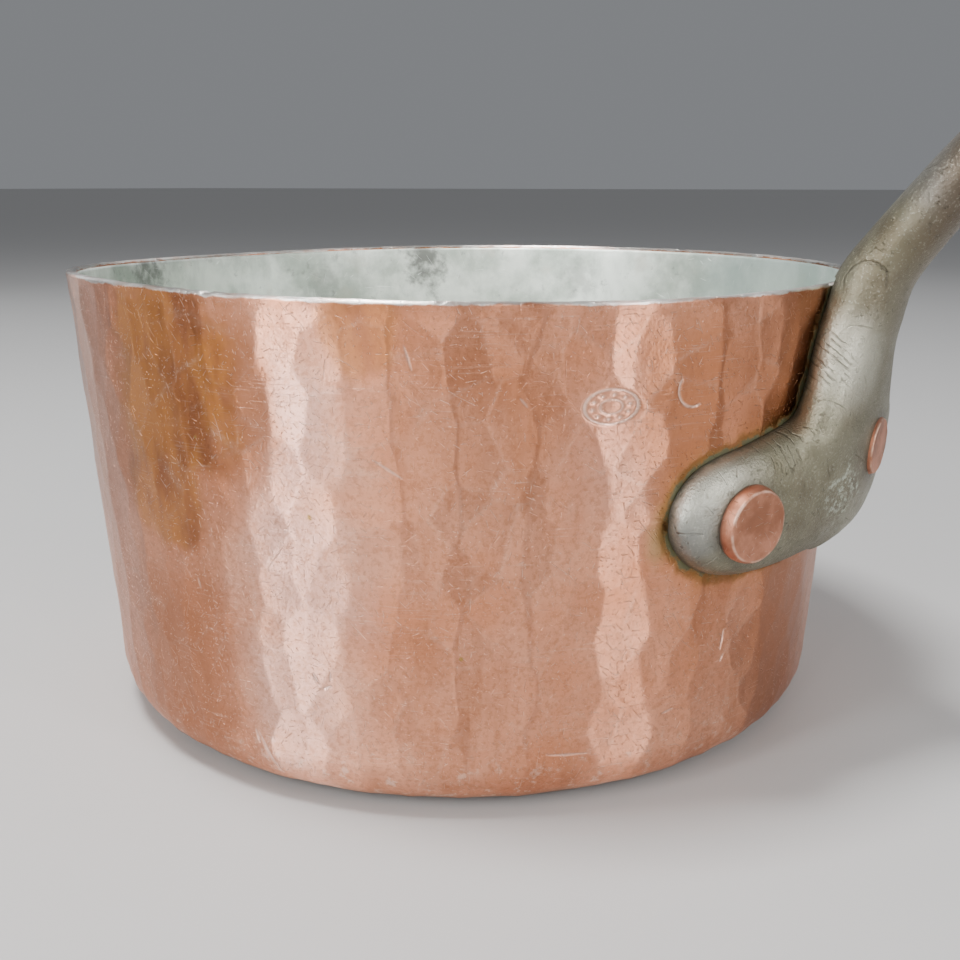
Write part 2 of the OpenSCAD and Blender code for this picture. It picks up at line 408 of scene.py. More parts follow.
def makeHammeredPan(h=hammer):
    profile = copperProfile()
    heights = profile[:, 1:2]
    steps = pan["steps"]
    turn = np.linspace(0, 2 * math.pi, steps, endpoint=False)
    direction = np.gradient(profile, axis=0)
    direction /= np.linalg.norm(direction, axis=1)[:, None]
    normal = np.stack([direction[:, 1], -direction[:, 0]], axis=1)     # outwards on the outside
    run = np.concatenate([[0], np.cumsum(np.linalg.norm(np.diff(profile, axis=0), axis=1))])
    rimRow = int(np.argmax(profile[:, 1]))
    wallStart = 25      # first row of the corner, counted from the base's middle
    grid, along = np.meshgrid(turn, run)
    depth, ridge = blowMarks(grid * pan["rim"], along)
    rows = np.arange(len(profile))[:, None]
    # marks fade out on the flat base, below the rim's edge and inside
    fade = smoothStep(rows, wallStart - 6, wallStart + 4)
    fade = fade * (1 - smoothStep(heights, h["endsFrom"], h["endsAt"])) * (rows < rimRow)
    radius = profile[:, 0:1] + 0 * grid
    z = profile[:, 1:2] + 0 * grid
    where = roundPan(radius, grid, z).reshape(-1, 3)
    wobble = valueNoise(where, 45 * mm, 11, 2).reshape(grid.shape)
    lumps = valueNoise(where, 6 * mm, 17, 3).reshape(grid.shape)
    wallish = smoothStep(z, 0.004, 0.03) * (rows <= rimRow + 3)
    offset = depth * fade + (h["swell"] * (wobble - 1) + h["lumps"] * lumps) * wallish
    radius = radius + offset * normal[:, 0:1]
    z = z + np.maximum(offset * normal[:, 1:2], 0) * (z > 1 * mm)
    # the rim's edge has been knocked about a little
    edge = smoothStep(z, pan["height"] - 3 * mm, pan["height"])
    chips = valueNoise(where, 5 * mm, 23, 3).reshape(grid.shape)
    z = z + edge * (h["rimLumps"] * chips - h["rimChips"] * smoothStep(chips, 0.42, 0.62))
    z = z + outOfTrue(grid, z)
    rings = roundPan(radius, grid, z)
    mesh = ringMesh("hammered_pan", rings, (0, 0, 0), (0, 0, pan["sheet"]))
    storeValue(mesh, "ridge", np.concatenate([(ridge * fade).ravel(), [0, 0]]))
    belowRim = pan["height"] - heights + 0 * grid
    storeValue(mesh, "belowRim", np.concatenate([belowRim.ravel(), [1, 1]]))
    outward(mesh)
    cutMarks(mesh)
    return newPiece("hammered_pan", mesh)


copperPan = makeHammeredPan()
print("copper hammered:", len(copperPan.data.vertices), "points")


tin = {
    "under": 0.03 * mm,     # how far its hidden side goes into the copper
    "wave": 0.10 * mm,
    "drip": 0.035 * mm,
    "cover": 0.6 * mm,      # how far past a rivet's head the tin rises
}


def makeTinSkin():
    # one closed skin: its hidden side lies on the copper, its bright side faces the food
    def section(inset, top):
        lean = pan["slope"]
        points = [(wallRadius(z) - inset / math.cos(lean), z) for z in np.linspace(top, pan["corner"], 110)]
        reach = pan["corner"] - inset
        for a in np.linspace(-lean, -math.pi / 2, 18)[1:]:
            points.append((pan["cornerX"] + reach * math.cos(a), pan["corner"] + reach * math.sin(a)))
        points += [(x, inset) for x in np.linspace(1, 0.02, 40)[1:] * pan["cornerX"]]
        return np.array(points)

    top = pan["height"] - pan["rimRound"]
    hidden = section(pan["sheet"] - tin["under"], top)[::-1]
    bright = section(pan["sheet"] + pan["tin"], top)
    profile = np.concatenate([hidden, bright])
    turn = np.linspace(0, 2 * math.pi, pan["steps"], endpoint=False)
    grid, radius = np.meshgrid(turn, profile[:, 0])
    z = profile[:, 1:2] + 0 * grid
    where = roundPan(radius, grid, z)
    seen = (np.arange(len(profile)) >= len(hidden))[:, None]
    flat = where.reshape(-1, 3)
    wave = valueNoise(flat, 14 * mm, 31, 2).reshape(grid.shape)
    drip = valueNoise(flat * np.array([1, 1, 0.45]), 4 * mm, 37, 3).reshape(grid.shape)
    swell = (tin["wave"] * (wave + 1) + tin["drip"] * (drip + 1)) * seen * smoothStep(top - z, 0, 3 * mm)
    lift = np.zeros(flat.shape[0])
    for name in rivet["turns"]:
        # the tin runs over the inner head
        local = (np.array(rivetFrame(name).inverted()) @ np.c_[flat, np.ones(len(flat))].T).T[:, :3]
        reach = np.hypot(local[:, 0], local[:, 1]) + 0.25 * mm * valueNoise(flat, 9 * mm, 41, 2)
        deep = -local[:, 2] - pan["sheet"]
        head = 1 - smoothStep(reach, rivet["inner"] / 2 - 1.9 * mm, rivet["inner"] / 2 + tin["cover"])
        wanted = rivet["innerTall"] * head * (1 - 0.10 * smoothStep(reach, 0, rivet["inner"] / 2))
        lift = np.maximum(lift, np.where((np.abs(deep) < 6 * mm) & (head > 0), wanted, 0))
    lift = lift.reshape(grid.shape) * seen
    lean = np.clip((z - pan["corner"] * 0.4) / pan["corner"], 0, 1)
    radius = radius - (swell * lean + lift)
    z = z + swell * (1 - lean)
    z = z + outOfTrue(grid, z)
    rings = roundPan(radius, grid, z)
    poles = (0, 0, pan["sheet"] - tin["under"]), (0, 0, pan["sheet"] + pan["tin"])
    mesh = ringMesh("tin_skin", rings, *poles)
    outward(mesh)
    return newPiece("tin_skin", mesh)


tinSkin = makeTinSkin()
print("tin wiped:", len(tinSkin.data.vertices), "points")


eyeSpot = Vector(mounts["hanging_eye"]["pos_m"])
handle = {
    "neckOut": 11 * mm,      # middle of the neck past the rim, at the rim's height
    "core": 4 * mm,          # how far its middle line stands off the wall below the rim
    "tipWidth": 34 * mm,
    "tipThick": 7.5 * mm,
    "eyeBig": 6 * mm,        # radii of the eye's two ends, and how far apart they are
    "eyeSmall": 2.4 * mm,
    "eyeLength": 23 * mm,
    "squareness": 2.05,      # 2 is an ellipse
    "flangeSquareness": 2.3,
    "voxel": 1.0 * mm,
    "softening": 13,
    "skin": 0.10 * mm,       # sand skin, coarse and fine
    "fineSkin": 0.05 * mm,
}
# shares of the way from the neck to the eye: out, up; then width and thickness in mm
reachLine = [
    (0.002, 0.070, 25.0, 15.7), (0.043, 0.166, 23.5, 15.0), (0.071, 0.229, 22.7, 14.7),
    (0.104, 0.295, 22.2, 14.3), (0.145, 0.357, 22.0, 13.9), (0.202, 0.429, 22.0, 13.4),
    (0.284, 0.510, 22.3, 12.9), (0.393, 0.595, 23.2, 11.0), (0.530, 0.690, 25.0, 9.3),
    (0.683, 0.790, 27.5, 8.7), (0.836, 0.890, 30.5, 8.0), (1.0, 1.0, 34.0, 7.5),
]
# beside the rim: past it, above it, width, thickness
shoulderLine = [(4.6, -7.5, 33, 18.6), (7.2, 0.5, 29, 17.0)]
# against the wall: height, how proud, width
wallLine = [
    (55.0, 6.0, 30.0), (60.0, 10.0, 38.0), (67.5, 12.4, 46.0), (77.5, 13.4, 54.0),
    (85.5, 13.4, 60.0), (90.0, 13.2, 53.0), (94.5, 13.2, 46.5), (101.0, 13.2, 41.0), (107.0, 13.4, 37.0),
]
# the flange, by degrees from the middle: lower edge, upper edge, thickness
flangeLine = [
    (0, 54.7, 93.0, 12.4), (5, 54.7, 92.0, 12.2), (10, 54.4, 90.2, 11.3), (15, 54.0, 88.0, 10.0),
    (19, 53.9, 86.4, 8.9), (22, 54.2, 85.2, 8.2), (25, 55.1, 84.2, 7.8), (27.5, 56.8, 82.8, 7.3),
    (29.6, 59.3, 80.6, 6.6), (31.3, 62.8, 77.4, 5.6), (32.5, 67.0, 73.0, 4.2),
]


def smoothLine(stations, between):
    # a smooth curve through the stations, with between steps from one to the next
    s = np.array(stations, float)
    out = []
    for i in range(len(s) - 1):
        a, b, c, d = s[max(i - 1, 0)], s[i], s[i + 1], s[min(i + 2, len(s) - 1)]
        for f in np.linspace(0, 1, between, endpoint=False):
            out.append(0.5 * (2 * b + (c - a) * f + (2 * a - 5 * b + 4 * c - d) * f ** 2
                              + (3 * b - a - 3 * c + d) * f ** 3))
    out.append(s[-1])
    return np.array(out)


def sectionRing(width, thick, sides, power):
    a = np.linspace(0, 2 * math.pi, sides, endpoint=False) + math.pi / sides
    across = width / 2 * np.sign(np.cos(a)) * np.abs(np.cos(a)) ** (2 / power)
    out = thick / 2 * np.sign(np.sin(a)) * np.abs(np.sin(a)) ** (2 / power)
    return across, out


def shankMesh():
    h = handle
    start = np.array([pan["rim"] + h["neckOut"], pan["height"]])
    end = np.array([eyeSpot.x, eyeSpot.z])
    stations = []
    for z, proud, width in wallLine:
        stations.append((wallRadius(z * mm) + h["core"], z * mm, width * mm, 2 * (proud * mm - h["core"])))
    for out, up, width, thick in shoulderLine:
        stations.append((pan["rim"] + out * mm, pan["height"] + up * mm, width * mm, thick * mm))
    for outShare, upShare, width, thick in reachLine:
        x, z = start + (end - start) * np.array([outShare, upShare])
        stations.append((x, z, width * mm, thick * mm))
    line = smoothLine(stations, 6)
    tangent = np.gradient(line[:, :2], axis=0)
    tangent /= np.linalg.norm(tangent, axis=1)[:, None]
    # a round end past the eye
    tip = h["tipWidth"] / 2
    for a in np.radians([12, 24, 36, 47, 57, 66, 74, 81, 86]):
        step = (end[0] + tip * math.sin(a) * tangent[-1][0], end[1] + tip * math.sin(a) * tangent[-1][1])
        thick = h["tipThick"] * (0.5 + 0.5 * math.cos(a) ** 0.7)
        line = np.vstack([line, [*step, 2 * tip * math.cos(a), thick]])
        tangent = np.vstack([tangent, tangent[-1]])
    rings = []
    for (x, z, width, thick), (tx, tz) in zip(line, tangent):
        across, out = sectionRing(width, thick, 40, h["squareness"])
        rings.append(np.stack([x + out * tz, across, z - out * tx], axis=1))
    mesh = ringMesh("shank", np.array(rings))
    outward(mesh)
    return mesh, tangent[-1]


def flangeMesh():
    # lofted round the pan from one lobe's end to the other's
    side = smoothLine(flangeLine, 5)
    both = np.vstack([side[::-1], side[1:]])
    turns = np.concatenate([-side[::-1, 0], side[1:, 0]])
    rings = []
    for turn, (_, low, high, thick) in zip(np.radians(turns), both):
        across, out = sectionRing((high - low) * mm, 2 * thick * mm, 48, handle["flangeSquareness"])
        z = (low + high) / 2 * mm + across
        r = wallRadius(z) + out
        rings.append(roundPan(r, turn, z))
    mesh = ringMesh("flange", np.array(rings))
    outward(mesh)
    return mesh


def eyeCutter(tangent):
    # keyhole drop: a large round end at the tip, narrowing towards the pan
    big, small, length = handle["eyeBig"], handle["eyeSmall"], handle["eyeLength"]
    lean = math.asin((big - small) / length)
    quarter = math.pi / 2
    outline = [(big * math.cos(a), big * math.sin(a))
               for a in np.linspace(-quarter - lean, quarter + lean, 28)]
    outline += [(small * math.cos(a) - length, small * math.sin(a))
                for a in np.linspace(quarter + lean, 3 * quarter - lean, 14)]
    up = Vector((-tangent[1], 0, tangent[0]))
    forward = Vector((tangent[0], 0, tangent[1]))
    rings = [[list(eyeSpot + forward * x + Vector((0, y, 0)) + up * level) for x, y in outline]
             for level in (-20 * mm, 20 * mm)]
    mesh = ringMesh("eye_cutter", np.array(rings))
    outward(mesh)
    return mesh


def evaluated(piece):
    graph = bpy.context.evaluated_depsgraph_get()
    graph.update()
    return bpy.data.meshes.new_from_object(piece.evaluated_get(graph))


def makeHandle():
    h = handle
    shank, tangent = shankMesh()
    body = newPiece("cast_handle", shank)
    cutter = newPiece("eye_cutter", eyeCutter(tangent))
    cut = body.modifiers.new("eye", "BOOLEAN")
    cut.operation = "DIFFERENCE"
    cut.solver = "EXACT"
    cut.object = cutter
    pierced = evaluated(body)
    bm = bmesh.new()
    bm.from_mesh(pierced)
    bm.from_mesh(flangeMesh())
    bm.to_mesh(pierced)
    bm.free()
    body.modifiers.clear()
    body.data = pierced
    bpy.data.objects.remove(cutter)
    # one casting out of both, then softened as sand castings are
    melt = body.modifiers.new("melt", "REMESH")
    melt.mode = "VOXEL"
    melt.voxel_size = h["voxel"]
    soft = body.modifiers.new("soft", "SMOOTH")
    soft.factor = 0.5
    soft.iterations = h["softening"]
    cast = evaluated(body)
    body.modifiers.clear()
    body.data = cast
    return body


def finishCasting(body):
    mesh = body.data
    coords = coordsOf(mesh)
    normals = normalsOf(mesh)
    radius = np.hypot(coords[:, 0], coords[:, 1])
    level = coords[:, 2]
    offWall = radius - wallRadius(level)
    below = level < pan["height"] + 1 * mm
    onWall = below & (offWall < 0.25 * mm)
    # rough skin of the sand mould, but not where the back lies on the wall
    skin = handle["skin"] * valueNoise(coords, 7 * mm, 51, 3)
    skin = skin + handle["fineSkin"] * valueNoise(coords, 2.6 * mm, 57, 2)
    coords = coords + normals * (skin * ~onWall)[:, None]
    # the back is fitted to the wall
    radius = np.hypot(coords[:, 0], coords[:, 1])
    wanted = np.where(below, np.maximum(radius, wallRadius(coords[:, 2]) + 0.04 * mm), radius)
    coords[:, 0] *= wanted / radius
    coords[:, 1] *= wanted / radius
    setCoords(mesh, coords)
    storeValue(mesh, "offWall", np.where(below, np.maximum(wanted - wallRadius(coords[:, 2]), 0), 1))
    for face in mesh.polygons:
        face.use_smooth = True
    return body


castHandle = finishCasting(makeHandle())
print("handle cast:", len(castHandle.data.vertices), "points")


def makeRivet(name, seed):
    half, tall, seat = rivet["width"][name] / 2, rivet["tall"][name], rivet["seat"][name]
    shank, inner = rivet["shank"] / 2, rivet["inner"] / 2
    back = -pan["sheet"]
    # from the middle of the inner head to the middle of the outer one: radius, height, how uneven
    profile = [(r, back - rivet["innerTall"] * k, 0) for r, k in
               ((1 * mm, 0.9), (inner - 3 * mm, 0.88), (inner - 1.2 * mm, 0.6), (inner - 0.6 * mm, 0.3))]
    profile += [(inner - 0.6 * mm, back, 0), (shank, back, 0), (shank, seat - 0.6 * mm, 0)]
    profile += [(half - 0.9 * mm, seat - 0.5 * mm, 0.5), (half - 0.1 * mm, seat - 0.1 * mm, 1)]
    edge, bevel = rivet["edge"], rivet["bevel"]
    for k in np.linspace(0.1, 1, 9):
        bow = rivet["bow"] * math.sin(math.pi * k)
        profile.append((half - bevel * k + bow, seat + (tall - edge - 0.1 * mm) * k, 1))
    face = seat + tall - 0.1 * mm
    for a in np.radians([25, 50, 72]):
        profile.append((half - bevel - edge * (1 - math.cos(a)), face - edge * (1 - math.sin(a)), 1))
    for share in np.linspace(0.97, 0.06, 18):
        profile.append(((half - bevel - edge) * share, face + 0.06 * mm * (1 - share), 1))
    profile = np.array(profile)
    steps = 144
    turn = np.linspace(0, 2 * math.pi, steps, endpoint=False)
    grid, radius = np.meshgrid(turn, profile[:, 0])
    z = profile[:, 1:2] + 0 * grid
    rough = profile[:, 2:3]
    where = roundPan(radius, grid, z).reshape(-1, 3)
    shift = np.array([31.7, 12.1, 5.3]) * mm * seed
    circle = np.stack([np.cos(turn), np.sin(turn), 0 * turn], axis=1) * 8 * mm
    outline = valueNoise(circle + shift, 6 * mm, seed, 2)
    lumps = valueNoise(where + shift, 5 * mm, seed + 3, 2).reshape(grid.shape)
    dents = valueNoise(where + shift, 2.2 * mm, seed + 5, 2).reshape(grid.shape)
    radius = radius * (1 + rough * (0.028 * outline[None, :] + 0.012 * lumps))
    z = z + rough * (0.10 * mm * lumps + 0.05 * mm * dents) * smoothStep(z, seat, seat + tall)
    rings = roundPan(radius, grid, z)
    middle = (0, 0, float(rings[-1, :, 2].mean()))
    mesh = ringMesh(name + "_hammered", rings, (0, 0, back - 0.9 * rivet["innerTall"]), middle)
    outward(mesh)
    mesh.transform(rivetFrame(name))
    reach = np.concatenate([radius.ravel(), [0, 0]]) / half
    storeValue(mesh, "headReach", reach)      # 1 at the outer head's edge
    storeValue(mesh, "headRise", np.concatenate([((z - seat) / tall).ravel(), [0, 1]]))
    return newPiece(name + "_hammered", mesh)


rivets = {name: makeRivet(name, 3 + k) for k, name in enumerate(rivet["turns"])}
print("rivets set")


def measureToIron():
    # how near the copper is to the iron, for the grime and the painted shade between them
    tree = BVHTree.FromObject(castHandle, bpy.context.evaluated_depsgraph_get())
    coords = coordsOf(copperPan.data)
    reach = 14 * mm
    values = np.full(len(coords), reach)
    turn = np.abs(np.degrees(np.arctan2(coords[:, 1], coords[:, 0])))
    outer = np.hypot(coords[:, 0], coords[:, 1]) > wallRadius(coords[:, 2]) - 1 * mm
    for i in np.nonzero((turn < 44) & (coords[:, 2] > 36 * mm) & outer)[0]:
        hit = tree.find_nearest(Vector(coords[i]), reach)
        if hit[0] is not None:
            values[i] = hit[3]
    storeValue(copperPan.data, "toIron", values)


measureToIron()
print("grime line measured")


def plug(tree, socket, value):
    if isinstance(value, bpy.types.NodeSocket):
        tree.links.new(value, socket)
    else:
        socket.default_value = value


def calc(tree, operation, first, second=0.0, third=0.0, clamp=False):
    node = tree.nodes.new("ShaderNodeMath")
    node.operation = operation
    node.use_clamp = clamp
    for socket, value in zip(node.inputs, (first, second, third)):
        plug(tree, socket, value)
    return node.outputs[0]


def times(tree, first, second):
    return calc(tree, "MULTIPLY", first, second)


def sway(tree, value, reach):
    # turns a noise from 0 to 1 into half of reach either way
    return times(tree, calc(tree, "SUBTRACT", value, 0.5), reach)


def strongest(tree, masks):
    total = masks[0]
    for mask in masks[1:]:
        total = calc(tree, "MAXIMUM", total, mask)
    return total


def vectorCalc(tree, operation, first, second=(0, 0, 0), scale=1.0):
    node = tree.nodes.new("ShaderNodeVectorMath")
    node.operation = operation
    plug(tree, node.inputs[0], first)
    plug(tree, node.inputs[1], second)
    if operation == "SCALE":
        plug(tree, node.inputs["Scale"], scale)
    return node.outputs["Value" if operation in ("LENGTH", "DOT_PRODUCT") else "Vector"]


def spread(tree, value, low, high, toLow=0.0, toHigh=1.0):
    # smooth step from toLow to toHigh as value goes from low to high
    node = tree.nodes.new("ShaderNodeMapRange")
    node.interpolation_type = "SMOOTHSTEP"
    for name, number in (("Value", value), ("From Min", low), ("From Max", high),
                         ("To Min", toLow), ("To Max", toHigh)):
        plug(tree, node.inputs[name], number)
    return node.outputs[0]


def blendColour(tree, factor, first, second):
    node = tree.nodes.new("ShaderNodeMix")
    node.data_type = "RGBA"
    plug(tree, node.inputs[0], factor)
    for socket, value in ((node.inputs[6], first), (node.inputs[7], second)):
        plug(tree, socket, value if isinstance(value, bpy.types.NodeSocket) else (*value, 1)[:4])
    return node.outputs[2]


def paint(tree, base, mask, strength, colour):
    # lays a colour over base where the mask says so
    return blendColour(tree, times(tree, mask, strength), base, colour)


def noise(tree, coords, scale, detail=4.0, roughness=0.55, distortion=0.0, stretch=None):
    if stretch:
        coords = vectorCalc(tree, "MULTIPLY", coords, stretch)
    node = tree.nodes.new("ShaderNodeTexNoise")
    plug(tree, node.inputs["Vector"], coords)
    for name, value in (("Scale", scale), ("Detail", detail), ("Roughness", roughness),
                        ("Distortion", distortion)):
        plug(tree, node.inputs[name], value)
    return node.outputs["Fac"]


def alongSurface(tree, vector, normal):
    # takes away the part of a vector that points off the surface
    rise = vectorCalc(tree, "DOT_PRODUCT", vector, normal)
    return vectorCalc(tree, "SUBTRACT", vector, vectorCalc(tree, "SCALE", normal, scale=rise))


def attribute(tree, name):
    node = tree.nodes.new("ShaderNodeAttribute")
    node.attribute_name = name
    return node.outputs["Fac"]


def newGroup(name, inputs, outputs):
    group = bpy.data.node_groups.new(name, "ShaderNodeTree")
    kinds = {"number": "NodeSocketFloat", "vector": "NodeSocketVector", "colour": "NodeSocketColor"}
    for label, kind, default in inputs:
        socket = group.interface.new_socket(name=label, in_out="INPUT", socket_type=kinds[kind])
        if default is not None:
            socket.default_value = default
    for label, kind in outputs:
        group.interface.new_socket(name=label, in_out="OUTPUT", socket_type=kinds[kind])
    return group, group.nodes.new("NodeGroupInput").outputs, group.nodes.new("NodeGroupOutput").inputs


def useGroup(tree, group, **values):
    node = tree.nodes.new("ShaderNodeGroup")
    node.node_tree = group
    for name, value in values.items():
        plug(tree, node.inputs[name], value)
    return node.outputs


def buildNicks():
    # short straight nicks, one in some of the cells, each with its own direction along the surface
    g, given, out = newGroup(
        "shortNicks",
        [("Coords", "vector", None), ("Cell", "number", 0.005), ("Length", "number", 0.003),
         ("Width", "number", 0.0002), ("Share", "number", 0.5), ("Bend", "number", 0.00022)],
        [("Mask", "number")])
    bent = g.nodes.new("ShaderNodeTexNoise")
    bent.inputs["Scale"].default_value = 420
    plug(g, bent.inputs["Vector"], given["Coords"])
    push = vectorCalc(g, "SUBTRACT", bent.outputs["Color"], (0.5, 0.5, 0.5))
    coords = vectorCalc(g, "ADD", given["Coords"], vectorCalc(g, "SCALE", push, scale=given["Bend"]))
    cells = g.nodes.new("ShaderNodeTexVoronoi")
    plug(g, cells.inputs["Vector"], coords)
    plug(g, cells.inputs["Scale"], calc(g, "DIVIDE", 1.0, given["Cell"]))
    away = vectorCalc(g, "SUBTRACT", coords, cells.outputs["Position"])
    normal = g.nodes.new("ShaderNodeNewGeometry").outputs["Normal"]
    away = alongSurface(g, away, normal)
    aim = vectorCalc(g, "SUBTRACT", cells.outputs["Color"], (0.5, 0.5, 0.5))
    aim = vectorCalc(g, "NORMALIZE", alongSurface(g, aim, normal))
    along = vectorCalc(g, "DOT_PRODUCT", away, aim)
    sideways = vectorCalc(g, "SUBTRACT", away, vectorCalc(g, "SCALE", aim, scale=along))
    across = vectorCalc(g, "LENGTH", sideways)
    split = g.nodes.new("ShaderNodeSeparateColor")
    plug(g, split.inputs[0], cells.outputs["Color"])
    # most are short and a few are long
    share = calc(g, "MULTIPLY_ADD", calc(g, "POWER", split.outputs[1], 2.2), 0.50, 0.09)
    reach = times(g, given["Length"], share)
    ends = spread(g, calc(g, "ABSOLUTE", along), times(g, reach, 0.6), reach, 1.0, 0.0)
    sides = spread(g, across, times(g, given["Width"], 0.3), given["Width"], 1.0, 0.0)
    chosen = calc(g, "LESS_THAN", split.outputs[2], given["Share"])
    plug(g, out["Mask"], times(g, times(g, ends, sides), chosen))
    return g


def buildPatch():
    # a soft-edged stain round a point, with a ragged outline
    g, given, out = newGroup(
        "stainPatch",
        [("Coords", "vector", None), ("Middle", "vector", None), ("Stretch", "vector", (1, 1, 1)),
         ("Reach", "number", 0.03), ("Soft", "number", 0.5), ("Ragged", "number", 0.3),
         ("Grain", "number", 60.0)],
        [("Mask", "number")])
    away = vectorCalc(g, "SUBTRACT", given["Coords"], given["Middle"])
    away = vectorCalc(g, "MULTIPLY", away, given["Stretch"])
    rough = noise(g, given["Coords"], given["Grain"], 5.0, 0.6)
    wobble = times(g, calc(g, "SUBTRACT", rough, 0.5), times(g, given["Ragged"], 2.0))
    share = calc(g, "ADD", calc(g, "DIVIDE", vectorCalc(g, "LENGTH", away), given["Reach"]), wobble)
    inner = calc(g, "SUBTRACT", 1.0, given["Soft"])
    plug(g, out["Mask"], spread(g, share, inner, 1.0, 1.0, 0.0))
    return g


def buildHairlines():
    # fine scratches that all run about one way
    g, given, out = newGroup(
        "hairlines",
        [("Coords", "vector", None), ("Stretch", "vector", (60, 60, 1500)), ("Cover", "number", 0.4)],
        [("Mask", "number")])
    lines = noise(g, vectorCalc(g, "MULTIPLY", given["Coords"], given["Stretch"]), 1.0, 3.0, 0.6, 0.6)
    low = calc(g, "SUBTRACT", 0.72, times(g, given["Cover"], 0.25))
    lines = spread(g, lines, low, calc(g, "ADD", low, 0.1))
    fade = spread(g, noise(g, given["Coords"], 70.0, 2.0), 0.42, 0.6)
    plug(g, out["Mask"], times(g, lines, fade))
    return g


nicksGroup = buildNicks()
patchGroup = buildPatch()
hairGroup = buildHairlines()


def nickMask(tree, coords, cell, length, width, share):
    out = useGroup(tree, nicksGroup, Coords=coords, Cell=cell, Length=length, Width=width, Share=share)
    return out["Mask"]


def patchMask(tree, coords, middle, reach, soft, ragged, grain, stretch=(1, 1, 1)):
    out = useGroup(tree, patchGroup, Coords=coords, Middle=middle, Stretch=stretch, Reach=reach, Soft=soft,
                   Ragged=ragged, Grain=grain)
    return out["Mask"]


def startMaterial(name):
    material = bpy.data.materials.new(name)
    material.use_nodes = True
    tree = material.node_tree
    shader = tree.nodes["Principled BSDF"]
    coords = tree.nodes.new("ShaderNodeTexCoord").outputs["Object"]
    return material, tree, shader, coords


def bumpChain(tree, shader, heights):
    # heights: (socket, metres, turned in), the finest last
    normal = None
    for height, distance, inward in heights:
        node = tree.nodes.new("ShaderNodeBump")
        node.invert = inward
        node.inputs["Strength"].default_value = 1.0
        node.inputs["Distance"].default_value = distance
        plug(tree, node.inputs["Height"], height)
        if normal is not None:
            tree.links.new(normal, node.inputs["Normal"])
        normal = node.outputs["Normal"]
    tree.links.new(normal, shader.inputs["Normal"])


def wallPoint(turn, height):
    a = math.radians(turn)
    return (wallRadius(height) * math.cos(a), wallRadius(height) * math.sin(a), height)


copperLook = {
    "pink": (0.75, 0.355, 0.225),
    "red": (0.62, 0.245, 0.130),
    "brown": (0.40, 0.150, 0.068),
    "amber": (0.46, 0.180, 0.040),
    "umber": (0.20, 0.070, 0.024),
    "grey": (0.75, 0.485, 0.415),
    "bright": (0.95, 0.74, 0.62),
    "tinned": (0.84, 0.81, 0.76),
    "green": (0.085, 0.10, 0.055),
    "ochre": (0.36, 0.22, 0.06),
    "verdigris": (0.36, 0.34, 0.16),
    # dark for painted shade low on the wall
    "paintedShade": (0.10, 0.065, 0.05),
    "nicks": 0.28,          # strengths of the wear, and of the painted highlight in the punch marks: nicks, hairlines, grit, ridges, punch marks, gouges
    "hair": 0.16,
    "grit": 0.41,
    "ridges": 0.15,
    "punched": 0.50,
    "gouged": 0.24,
    "rough": 0.27,          # least roughness, and how much the clouds add
    "roughClouds": 0.12,
}
# heat stains: degrees from the handle, height and reach in mm, strength
amberStains = [(-96, 98, 25, 1.0), (-98, 76, 18, 0.9), (-69, 113, 10, 0.5),
               (40, 100, 38, 0.7), (130, 86, 44, 0.8)]
brownStains = [(-85, 98, 16, 1.35), (-108, 84, 12, 0.7), (-54, 96, 20, 0.45),
               (-31, 98, 19, 1.2), (-16, 106, 20, 1.0), (-7, 30, 28, 1.0),
               (-100, 26, 26, 0.9), (-119, 90, 26, 0.7), (-101, 84, 9, 0.8),
               (85, 50, 34, 0.6), (175, 60, 34, 0.6)]
# pale grey stains, partly a painted reflection where the bright bands fall: degrees from the handle, height
# and reach in mm, strength
greyStainsAndSheen = [(-77, 92, 20, 0.7), (-78, 60, 24, 0.7), (-80, 28, 22, 0.6),
              (-40, 88, 17, 0.25), (-118, 60, 30, 0.3), (10, 30, 30, 0.4),
              (115, 40, 34, 0.6), (-150, 60, 40, 0.5)]

greenStains = [(-33.6, 66, 5, 0.7), (33.0, 60, 6, 0.6)]


def stains(tree, coords, patches, tallness, soft):
    # the strongest of several stains on the wall
    masks = []
    for turn, height, reach, strength in patches:
        spot = wallPoint(turn, height * mm)
        mask = patchMask(tree, coords, spot, reach * mm, soft, 0.55, 62.0, stretch=(1, 1, tallness))
        masks.append(times(tree, mask, strength))
    return strongest(tree, masks)


